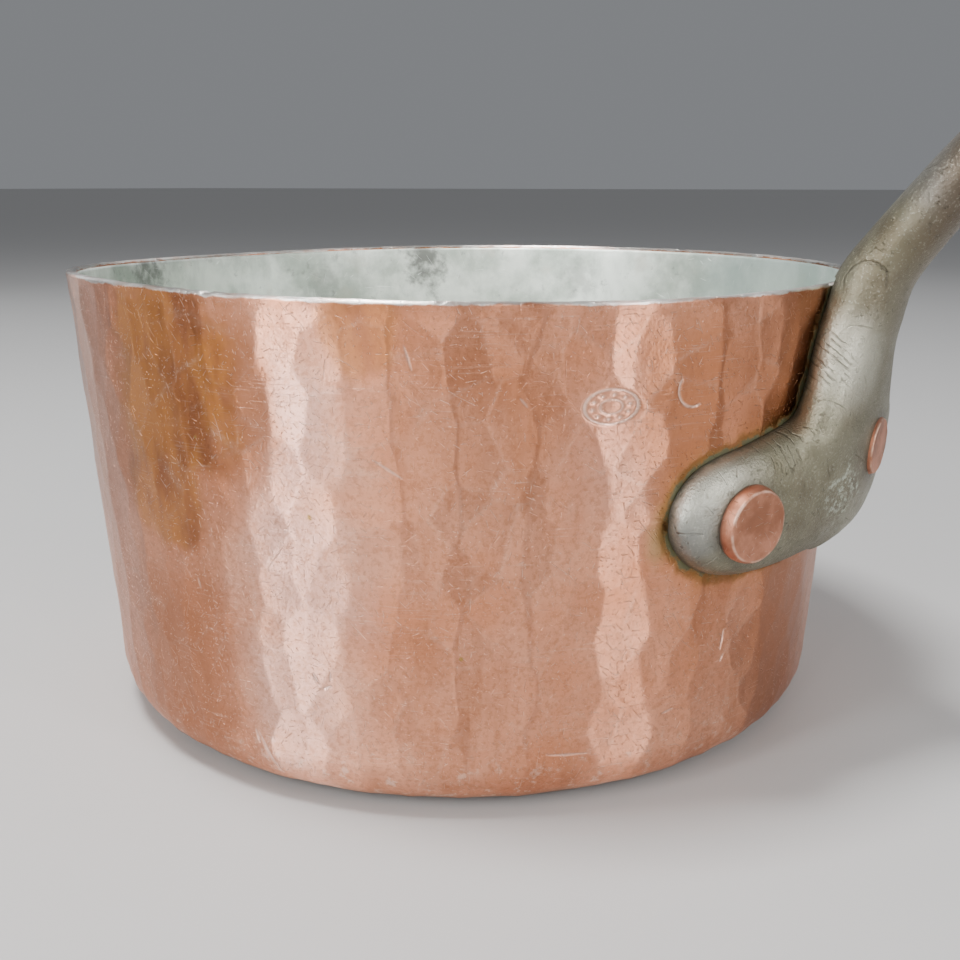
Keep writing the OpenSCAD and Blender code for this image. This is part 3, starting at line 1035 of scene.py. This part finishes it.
def copperMaterial():
    look = copperLook
    material, tree, shader, coords = startMaterial("old_copper")
    split = tree.nodes.new("ShaderNodeSeparateXYZ")
    plug(tree, split.inputs[0], coords)
    level = split.outputs["Z"]
    clouds = noise(tree, coords, 26.0, 6.0, 0.6)
    streaks = noise(tree, coords, 1.0, 5.0, 0.6, stretch=(95, 95, 24))
    speckle = noise(tree, coords, 900.0, 3.0, 0.6)
    colour = blendColour(tree, spread(tree, clouds, 0.35, 0.68), look["red"], look["pink"])
    colour = paint(tree, colour, spread(tree, streaks, 0.5, 0.72), 0.45, look["brown"])
    amber = stains(tree, coords, amberStains, 0.8, 0.30)
    brown = stains(tree, coords, brownStains, 0.6, 0.60)
    # pale grey, partly a painted reflection of the bright bands
    grey = stains(tree, coords, greyStainsAndSheen, 0.6, 0.80)
    colour = paint(tree, colour, grey, 0.75, look["grey"])
    colour = paint(tree, colour, brown, 0.60, look["brown"])
    burnt = spread(tree, noise(tree, coords, 1.0, 4.0, 0.6, stretch=(70, 70, 26)), 0.44, 0.62)
    scorched = blendColour(tree, burnt, look["amber"], look["umber"])
    colour = paint(tree, colour, amber, 0.85, scorched)

    nicks = nickMask(tree, coords, 0.0019, 0.0026, 0.00013, 0.60)
    cuts = nickMask(tree, coords, 0.0075, 0.0070, 0.00013, 0.30)
    dots = nickMask(tree, coords, 0.0012, 0.0007, 0.00016, 0.35)
    hair = useGroup(tree, hairGroup, Coords=coords, Stretch=(90, 90, 2600), Cover=0.55)["Mask"]
    patchy = spread(tree, noise(tree, coords, 75.0, 3.0, 0.6), 0.38, 0.60, 0.25, 1.0)
    worn = times(tree, strongest(tree, [nicks, cuts, dots]), patchy)
    edgeBand = spread(tree, level, 0.002, 0.022, 1.0, 0.0)
    colour = paint(tree, colour, worn, look["nicks"], look["bright"])
    colour = paint(tree, colour, hair, look["hair"], look["bright"])
    scuffs = spread(tree, noise(tree, coords, 1300.0, 3.0, 0.7), 0.46, 0.60)
    grit = spread(tree, noise(tree, coords, 760.0, 5.0, 0.75), 0.46, 0.62)
    colour = paint(tree, colour, grit, look["grit"], look["brown"])
    crest = calc(tree, "POWER", attribute(tree, "ridge"), 3.0)
    crest = times(tree, crest, calc(tree, "MULTIPLY_ADD", scuffs, 0.65, 0.35))
    colour = paint(tree, colour, times(tree, crest, patchy), look["ridges"], look["bright"])
    for turn, height, reach in brownPits:
        pit = patchMask(tree, coords, wallPoint(turn, height), reach + 0.3 * mm, 0.5, 0.5, 900.0)
        colour = paint(tree, colour, pit, 0.85, look["ochre"])
    # painted highlight along the punch marks
    colour = paint(tree, colour, attribute(tree, "punched"), look["punched"], look["bright"])
    colour = paint(tree, colour, attribute(tree, "gouged"), look["gouged"], look["tinned"])
    # knocks round the foot
    foot = times(tree, edgeBand, spread(tree, noise(tree, coords, 320.0, 5.0, 0.7), 0.55, 0.66))
    colour = paint(tree, colour, foot, 0.55, look["bright"])
    # painted shade on the lowest few millimetres, where the pan meets the floor
    under = spread(tree, level, 0.0010, 0.0060, 1.0, 0.0)
    colour = paint(tree, colour, under, 0.75, look["paintedShade"])

    # grime where the iron lies on the copper, and painted shade in the crevice along it
    toIron = attribute(tree, "toIron")
    gap = calc(tree, "ADD", toIron, sway(tree, noise(tree, coords, 260.0, 5.0, 0.65), 0.0052))
    halo = spread(tree, gap, 0.0010, 0.0075, 1.0, 0.0)
    stain = spread(tree, gap, 0.0008, 0.0034, 1.0, 0.0)
    line = spread(tree, gap, 0.0003, 0.0013, 1.0, 0.0)
    green = stains(tree, coords, greenStains, 0.55, 0.8)
    colour = paint(tree, colour, green, 0.75, look["verdigris"])
    colour = paint(tree, colour, halo, 0.25, look["amber"])
    colour = paint(tree, colour, stain, 0.55, look["ochre"])
    # dark green line against the iron: painted shade, tinted as verdigris
    colour = paint(tree, colour, line, 0.92, look["green"])

    # tin wiped over the rim
    ripple = sway(tree, noise(tree, coords, 240.0, 4.0, 0.6), 0.0014)
    wander = sway(tree, noise(tree, coords, 34.0, 3.0, 0.6), 0.0022)
    ripple = calc(tree, "ADD", ripple, wander)
    lip = spread(tree, calc(tree, "ADD", attribute(tree, "belowRim"), ripple), 0.0003, 0.0008, 1.0, 0.0)
    lipWorn = spread(tree, noise(tree, coords, 150.0, 4.0, 0.6), 0.40, 0.62)
    lip = times(tree, lip, calc(tree, "MULTIPLY_ADD", lipWorn, -0.35, 1.0))
    colour = blendColour(tree, lip, colour, look["tinned"])
    tree.links.new(colour, shader.inputs["Base Color"])

    rough = calc(tree, "MULTIPLY_ADD", clouds, look["roughClouds"], look["rough"])
    rough = calc(tree, "SUBTRACT", rough, times(tree, amber, 0.05))
    rough = calc(tree, "ADD", rough, times(tree, speckle, 0.07))
    rough = calc(tree, "ADD", rough, times(tree, stain, 0.30))
    rough = calc(tree, "ADD", rough, times(tree, under, 0.20), clamp=True)
    tree.links.new(rough, shader.inputs["Roughness"])
    # the scouring runs round the pan, so highlights are drawn out up and down
    around = tree.nodes.new("ShaderNodeTangent")
    around.direction_type = "RADIAL"
    around.axis = "Z"
    tree.links.new(around.outputs[0], shader.inputs["Tangent"])
    shader.inputs["Anisotropic"].default_value = 1.0
    shader.inputs["Anisotropic Rotation"].default_value = 0.25
    metal = calc(tree, "SUBTRACT", 1.0, times(tree, calc(tree, "MAXIMUM", line, under), 0.75))
    tree.links.new(metal, shader.inputs["Metallic"])
    fine = calc(tree, "ADD", noise(tree, coords, 1500.0, 2.0, 0.6), times(tree, hair, 0.5))
    bumpChain(tree, shader, [
        (noise(tree, coords, 240.0, 3.0, 0.6), 0.00006, False),
        (worn, 0.00021, True),
        (fine, 0.00003, False),
    ])
    return material


tinLook = {
    "pale": (0.82, 0.86, 0.79),
    "green": (0.42, 0.47, 0.41),
    "dark": (0.20, 0.21, 0.19),
    "warm": (0.52, 0.47, 0.38),
    "cool": (0.40, 0.50, 0.48),
    "scraped": (0.85, 0.86, 0.84),
}
# dark spots under the rim: degrees from the handle, height, reach, strength
tinSpots = [(131, 115.5 * mm, 9 * mm, 1.0), (-166, 113.5 * mm, 9 * mm, 0.9),
            (152, 106 * mm, 7 * mm, 0.4), (98, 108 * mm, 7 * mm, 0.4)]


def tinMaterial():
    look = tinLook
    material, tree, shader, coords = startMaterial("old_tin")
    clouds = noise(tree, coords, 42.0, 7.0, 0.62)
    wipes = noise(tree, coords, 1.0, 6.0, 0.6, stretch=(120, 120, 34))
    spots = noise(tree, coords, 210.0, 5.0, 0.66)
    colour = blendColour(tree, spread(tree, clouds, 0.36, 0.66), look["green"], look["pale"])
    colour = paint(tree, colour, spread(tree, wipes, 0.52, 0.74), 0.5, look["green"])
    colour = paint(tree, colour, spread(tree, spots, 0.60, 0.72), 0.45, look["dark"])
    colour = paint(tree, colour, spread(tree, noise(tree, coords, 60.0, 4.0), 0.58, 0.72), 0.30, look["warm"])
    cool = patchMask(tree, coords, wallPoint(48, 108 * mm), 0.058, 0.5, 0.3, 60.0, stretch=(1, 1, 0.6))
    colour = paint(tree, colour, cool, 0.60, look["cool"])
    for turn, height, reach, strength in tinSpots:
        spot = wallPoint(turn, height)
        mask = patchMask(tree, coords, spot, reach + 3 * mm, 0.8, 1.1, 220.0, stretch=(1, 1, 0.8))
        colour = paint(tree, colour, mask, strength, look["dark"])
    worn = nickMask(tree, coords, 0.006, 0.010, 0.00014, 0.5)
    colour = paint(tree, colour, worn, 0.35, look["scraped"])
    tree.links.new(colour, shader.inputs["Base Color"])
    rough = calc(tree, "MULTIPLY_ADD", clouds, -0.18, 0.58)
    tree.links.new(calc(tree, "ADD", rough, times(tree, spots, 0.08)), shader.inputs["Roughness"])
    shader.inputs["Metallic"].default_value = 0.85
    bumpChain(tree, shader, [(wipes, 0.00018, False), (spots, 0.00006, False), (worn, 0.00008, True)])
    return material


ironLook = {
    "grey": (0.225, 0.212, 0.148),
    "olive": (0.150, 0.136, 0.088),
    "brown": (0.092, 0.063, 0.038),
    "dark": (0.055, 0.048, 0.034),
    "bright": (0.58, 0.565, 0.470),
    # a cool tone for the painted bluish highlights
    "sheenBlue": (0.25, 0.27, 0.28),
    "lime": (0.62, 0.68, 0.58),
}
# painted bluish highlights, and painted highlights on the lobe and neck: middle, reach
paintedBlueSheenSpots = [((0.136, -0.008, 0.150), 0.024), ((0.0945, -0.0590, 0.0715), 0.017)]
paintedHighlightSpots = [((0.0966, -0.0525, 0.0808), 0.019), ((0.1172, -0.0170, 0.1030), 0.016)]
# file marks across the corner: middle, reach, direction of the strokes, direction across them, how close
fileMarks = [((0.1105, -0.0186, 0.1030), 9 * mm, (0.82, -0.153, -0.547), (0.569, 0.284, 0.773), 4800.0),
             ((0.1072, -0.0335, 0.0865), 10 * mm, (0.80, -0.27, -0.55), (0.33, 0.93, 0.12), 3100.0)]
# a curved line in the casting where the neck turns
lap = {"middle": (0.1178, -0.0135, 0.1205), "radius": 5.2 * mm}


def ironMaterial():
    look = ironLook
    material, tree, shader, coords = startMaterial("cast_iron")
    clouds = noise(tree, coords, 34.0, 6.0, 0.6)
    mottle = noise(tree, coords, 170.0, 6.0, 0.62)
    grain = noise(tree, coords, 1600.0, 3.0, 0.65)
    colour = blendColour(tree, spread(tree, clouds, 0.38, 0.64), look["olive"], look["grey"])
    colour = paint(tree, colour, spread(tree, mottle, 0.52, 0.72), 0.30, look["dark"])
    # browner towards the grip, partly as painted shade on the neck's top; a painted bluish highlight where
    # the neck turns and at the near lobe's end
    split = tree.nodes.new("ShaderNodeSeparateXYZ")
    plug(tree, split.inputs[0], coords)
    drift = calc(tree, "ADD", split.outputs["X"], times(tree, clouds, 0.03))
    gripBrownAndShade = times(tree, spread(tree, drift, 0.131, 0.153), 0.85)
    # painted bluish highlights
    paintedBlueSheen = strongest(tree, [patchMask(tree, coords, middle, reach, 0.8, 0.3, 120.0)
                             for middle, reach in paintedBlueSheenSpots])
    colour = paint(tree, colour, paintedBlueSheen, 0.55, look["sheenBlue"])
    rustier = times(tree, spread(tree, noise(tree, coords, 48.0, 5.0, 0.6), 0.50, 0.66), 0.40)
    # brown towards the grip, partly painted shade on the neck's top, and rust
    colour = blendColour(tree, calc(tree, "MAXIMUM", rustier, gripBrownAndShade), colour, look["brown"])
    pits = spread(tree, noise(tree, coords, 620.0, 4.0, 0.7), 0.58, 0.70)
    colour = paint(tree, colour, pits, 0.50, look["dark"])
    glint = spread(tree, grain, 0.56, 0.66)
    colour = paint(tree, colour, glint, 0.22, look["bright"])
    # painted highlights on the lobe's shoulder and the neck, a little smoother too
    paintedHighlight = strongest(tree, [patchMask(tree, coords, middle, reach, 0.9, 0.3, 140.0)
                              for middle, reach in paintedHighlightSpots])
    colour = paint(tree, colour, paintedHighlight, 0.60, look["bright"])
    filed = []
    for middle, reach, alongStroke, acrossStroke, pace in fileMarks:
        near = patchMask(tree, coords, middle, reach, 0.4, 0.3, 160.0)
        across = vectorCalc(tree, "DOT_PRODUCT", coords, acrossStroke)
        along = vectorCalc(tree, "DOT_PRODUCT", coords, alongStroke)
        rotated = tree.nodes.new("ShaderNodeCombineXYZ")
        plug(tree, rotated.inputs[0], times(tree, across, 700.0))
        plug(tree, rotated.inputs[1], times(tree, along, 230.0))
        broken = noise(tree, rotated.outputs[0], 1.0, 2.0, 0.5)
        wave = calc(tree, "SINE", calc(tree, "MULTIPLY_ADD", across, pace, times(tree, broken, 8.0)))
        lines = times(tree, spread(tree, wave, 0.35, 0.9), spread(tree, broken, 0.44, 0.58))
        lines = times(tree, lines, near)
        filed.append(lines)
    filed = strongest(tree, filed)
    colour = paint(tree, colour, filed, 0.42, look["dark"])
    away = vectorCalc(tree, "LENGTH", vectorCalc(tree, "SUBTRACT", coords, lap["middle"]))
    away = calc(tree, "ADD", away, sway(tree, mottle, 0.0030))
    offLap = calc(tree, "ABSOLUTE", calc(tree, "SUBTRACT", away, lap["radius"]))
    lapLine = spread(tree, offLap, 0.0001, 0.00045, 1.0, 0.0)
    lapLine = times(tree, lapLine, spread(tree, split.outputs["Z"], 0.1185, 0.1215))
    colour = paint(tree, colour, lapLine, 0.48, look["dark"])
    # painted shade in the corner against the copper
    off = calc(tree, "ADD", attribute(tree, "offWall"), sway(tree, mottle, 0.004))
    corner = spread(tree, off, 0.0004, 0.0026, 1.0, 0.0)
    colour = paint(tree, colour, corner, 0.75, look["dark"])
    # darker round the rivets, and a pale crust below the middle one
    for name in rivet["turns"]:
        spot = rivetFrame(name) @ Vector((0, 0, rivet["seat"][name]))
        ring = patchMask(tree, coords, spot, rivet["width"][name] / 2 + 3.2 * mm, 0.32, 0.22, 240.0)
        colour = paint(tree, colour, ring, 0.50, look["dark"])
    crust = patchMask(tree, coords, (0.1175, -0.0150, 0.070), 0.0095, 0.7, 1.3, 300.0)
    crust = times(tree, crust, spread(tree, noise(tree, coords, 700.0, 4.0, 0.7), 0.48, 0.60))
    colour = paint(tree, colour, crust, 0.5, look["lime"])
    tree.links.new(colour, shader.inputs["Base Color"])
    rough = calc(tree, "MULTIPLY_ADD", mottle, 0.20, 0.28)
    rough = calc(tree, "SUBTRACT", rough, times(tree, paintedHighlight, 0.05))
    rough = calc(tree, "ADD", rough, times(tree, corner, 0.25))
    rough = calc(tree, "ADD", rough, times(tree, crust, 0.3), clamp=True)
    tree.links.new(rough, shader.inputs["Roughness"])
    shader.inputs["Metallic"].default_value = 0.8
    scores = nickMask(tree, coords, 0.006, 0.008, 0.00018, 0.5)
    bumpChain(tree, shader, [
        (mottle, 0.00022, False),
        (pits, 0.00014, True),
        (strongest(tree, [scores, filed, lapLine]), 0.00022, True),
        (grain, 0.00021, False),
    ])
    return material


rivetLook = {
    "face": (0.52, 0.235, 0.150),
    "dull": (0.31, 0.130, 0.075),
    "bright": (0.90, 0.66, 0.52),
    # dark for painted shade at the foot of the head
    "paintedShade": (0.10, 0.065, 0.05),
}


def rivetMaterial():
    look = rivetLook
    material, tree, shader, coords = startMaterial("rivet_copper_worn")
    reach = attribute(tree, "headReach")
    rise = attribute(tree, "headRise")
    clouds = noise(tree, coords, 120.0, 5.0, 0.6)
    colour = blendColour(tree, spread(tree, clouds, 0.36, 0.62), look["dull"], look["face"])
    nicks = nickMask(tree, coords, 0.0022, 0.0034, 0.00012, 0.6)
    # the head's edge: worn bright, and a painted highlight along it
    edge = times(tree, spread(tree, reach, 0.86, 0.92), spread(tree, rise, 0.78, 0.92))
    edge = times(tree, edge, spread(tree, noise(tree, coords, 300.0, 4.0, 0.6), 0.36, 0.6))
    colour = paint(tree, colour, edge, 0.45, look["bright"])
    colour = paint(tree, colour, nicks, 0.18, look["bright"])
    # painted shade at the foot of the head, against the iron
    foot = times(tree, spread(tree, rise, 0.02, 0.30, 1.0, 0.0), spread(tree, reach, 0.7, 0.9))
    colour = paint(tree, colour, foot, 0.6, look["paintedShade"])
    tree.links.new(colour, shader.inputs["Base Color"])
    rough = calc(tree, "MULTIPLY_ADD", clouds, 0.16, 0.40)
    tree.links.new(calc(tree, "ADD", rough, times(tree, foot, 0.25)), shader.inputs["Roughness"])
    shader.inputs["Metallic"].default_value = 1.0
    bumpChain(tree, shader, [(clouds, 0.00016, False), (nicks, 0.00010, True),
                             (noise(tree, coords, 1300.0, 2.0), 0.00002, False)])
    return material


def dress(piece, material):
    piece.data.materials.clear()
    piece.data.materials.append(material)


dress(copperPan, copperMaterial())
dress(tinSkin, tinMaterial())
dress(castHandle, ironMaterial())
rivetFinish = rivetMaterial()
for piece in rivets.values():
    dress(piece, rivetFinish)
print("finishes on")


studio = {
    "floor": 30.0,          # half of its width
    "floorRough": 0.7,
    "floorGap": 0.2 * mm,   # how far it lies under the pan
    "floorTone": (0.44, 0.435, 0.43),
    "world": (0.84, 0.87, 0.92),
    "worldPower": 0.26,
    "skyPower": 0.22,
    "skyAngle": 100,
    # name, degrees from the camera's side (right is plus), height, distance, wide, tall, power, colour
    "boxes": [
        ("window_left", -47, 0.40, 0.95, 0.17, 0.80, 7.0, (0.95, 0.97, 1.0)),
        ("curtain_left", -65, 0.45, 1.15, 0.07, 0.80, 1.1, (1.0, 0.98, 0.95)),
        ("shelf_left", -82, 0.45, 1.10, 0.06, 0.80, 0.7, (1.0, 0.97, 0.93)),
        ("edge_left", -100, 0.45, 1.10, 0.06, 0.80, 0.7, (1.0, 0.97, 0.93)),
        ("pane_right", 45, 0.42, 1.05, 0.11, 0.80, 4.8, (0.98, 0.98, 1.0)),
        ("curtain_right", 27, 0.50, 1.20, 0.05, 0.70, 1.5, (1.0, 0.98, 0.95)),
        ("shelf_right", 61, 0.42, 1.00, 0.05, 0.80, 1.0, (1.0, 0.98, 0.95)),
        ("curtain_middle", -35, 0.45, 1.10, 0.07, 0.80, 1.2, (1.0, 0.98, 0.95)),
        ("slat_one", -24, 0.50, 1.20, 0.05, 0.70, 2.0, (1.0, 0.98, 0.95)),
        ("slat_two", -9, 0.50, 1.20, 0.045, 0.70, 1.8, (1.0, 0.98, 0.95)),
        ("slat_three", 9, 0.50, 1.20, 0.045, 0.70, 1.7, (1.0, 0.98, 0.95)),
        ("door_right", 84, 0.42, 0.90, 0.06, 0.80, 1.2, (0.97, 0.98, 1.0)),
        ("wall_left", -135, 0.50, 1.30, 0.30, 0.80, 1.6, (0.95, 0.98, 1.0)),
        ("window_behind", 160, 0.95, 1.3, 1.1, 0.60, 2.5, (0.96, 0.98, 1.0)),
        ("skylight", -72, 1.20, 0.30, 0.30, 0.30, 21, (1.0, 1.0, 1.0)),
    ],
}


def makeStudio(s):
    mesh = bpy.data.meshes.new("floor")
    half = s["floor"]
    corners = [(-half, -half, 0), (half, -half, 0), (half, half, 0), (-half, half, 0)]
    mesh.from_pydata(corners, [], [(0, 1, 2, 3)])
    floor = bpy.data.objects.new("floor", mesh)
    bpy.context.scene.collection.objects.link(floor)
    material, _, shader, _ = startMaterial("pale_floor")
    shader.inputs["Base Color"].default_value = (*s["floorTone"], 1)
    shader.inputs["Roughness"].default_value = s["floorRough"]
    dress(floor, material)
    floor.location.z = -s["floorGap"]
    world = bpy.data.worlds.new("soft_room")
    world.use_nodes = True
    background = world.node_tree.nodes["Background"].inputs
    background["Color"].default_value = (*s["world"], 1)
    background["Strength"].default_value = s["worldPower"]
    bpy.context.scene.world = world
    # a broad light from above, so that the floor stays pale past the lamps
    sky = bpy.data.lights.new("sky", "SUN")
    sky.energy = s["skyPower"]
    sky.angle = math.radians(s["skyAngle"])
    bpy.context.scene.collection.objects.link(bpy.data.objects.new("sky", sky))
    for name, turn, height, distance, wide, tall, power, colour in s["boxes"]:
        data = bpy.data.lights.new(name, "AREA")
        data.shape = "RECTANGLE"
        data.size, data.size_y = wide, tall
        data.energy = power
        data.color = colour
        lamp = bpy.data.objects.new(name, data)
        bpy.context.scene.collection.objects.link(lamp)
        lamp.visible_camera = False
        a = math.radians(turn - cameraSet["aside"])
        lamp.location = (distance * math.cos(a), distance * math.sin(a), height)
        aim = Vector((0, 0, pan["height"] * 0.6)) - lamp.location
        lamp.rotation_euler = aim.to_track_quat("-Z", "Y").to_euler()


makeStudio(studio)
print("studio lit")

parts = [(copperPan, "pan_body", "copper"), (tinSkin, "tin_lining", "tin"), (castHandle, "handle", "iron")]
parts += [(piece, name, "rivet_copper") for name, piece in rivets.items()]
for piece, node, slot in parts:
    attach(piece, "root")
    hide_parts(node)
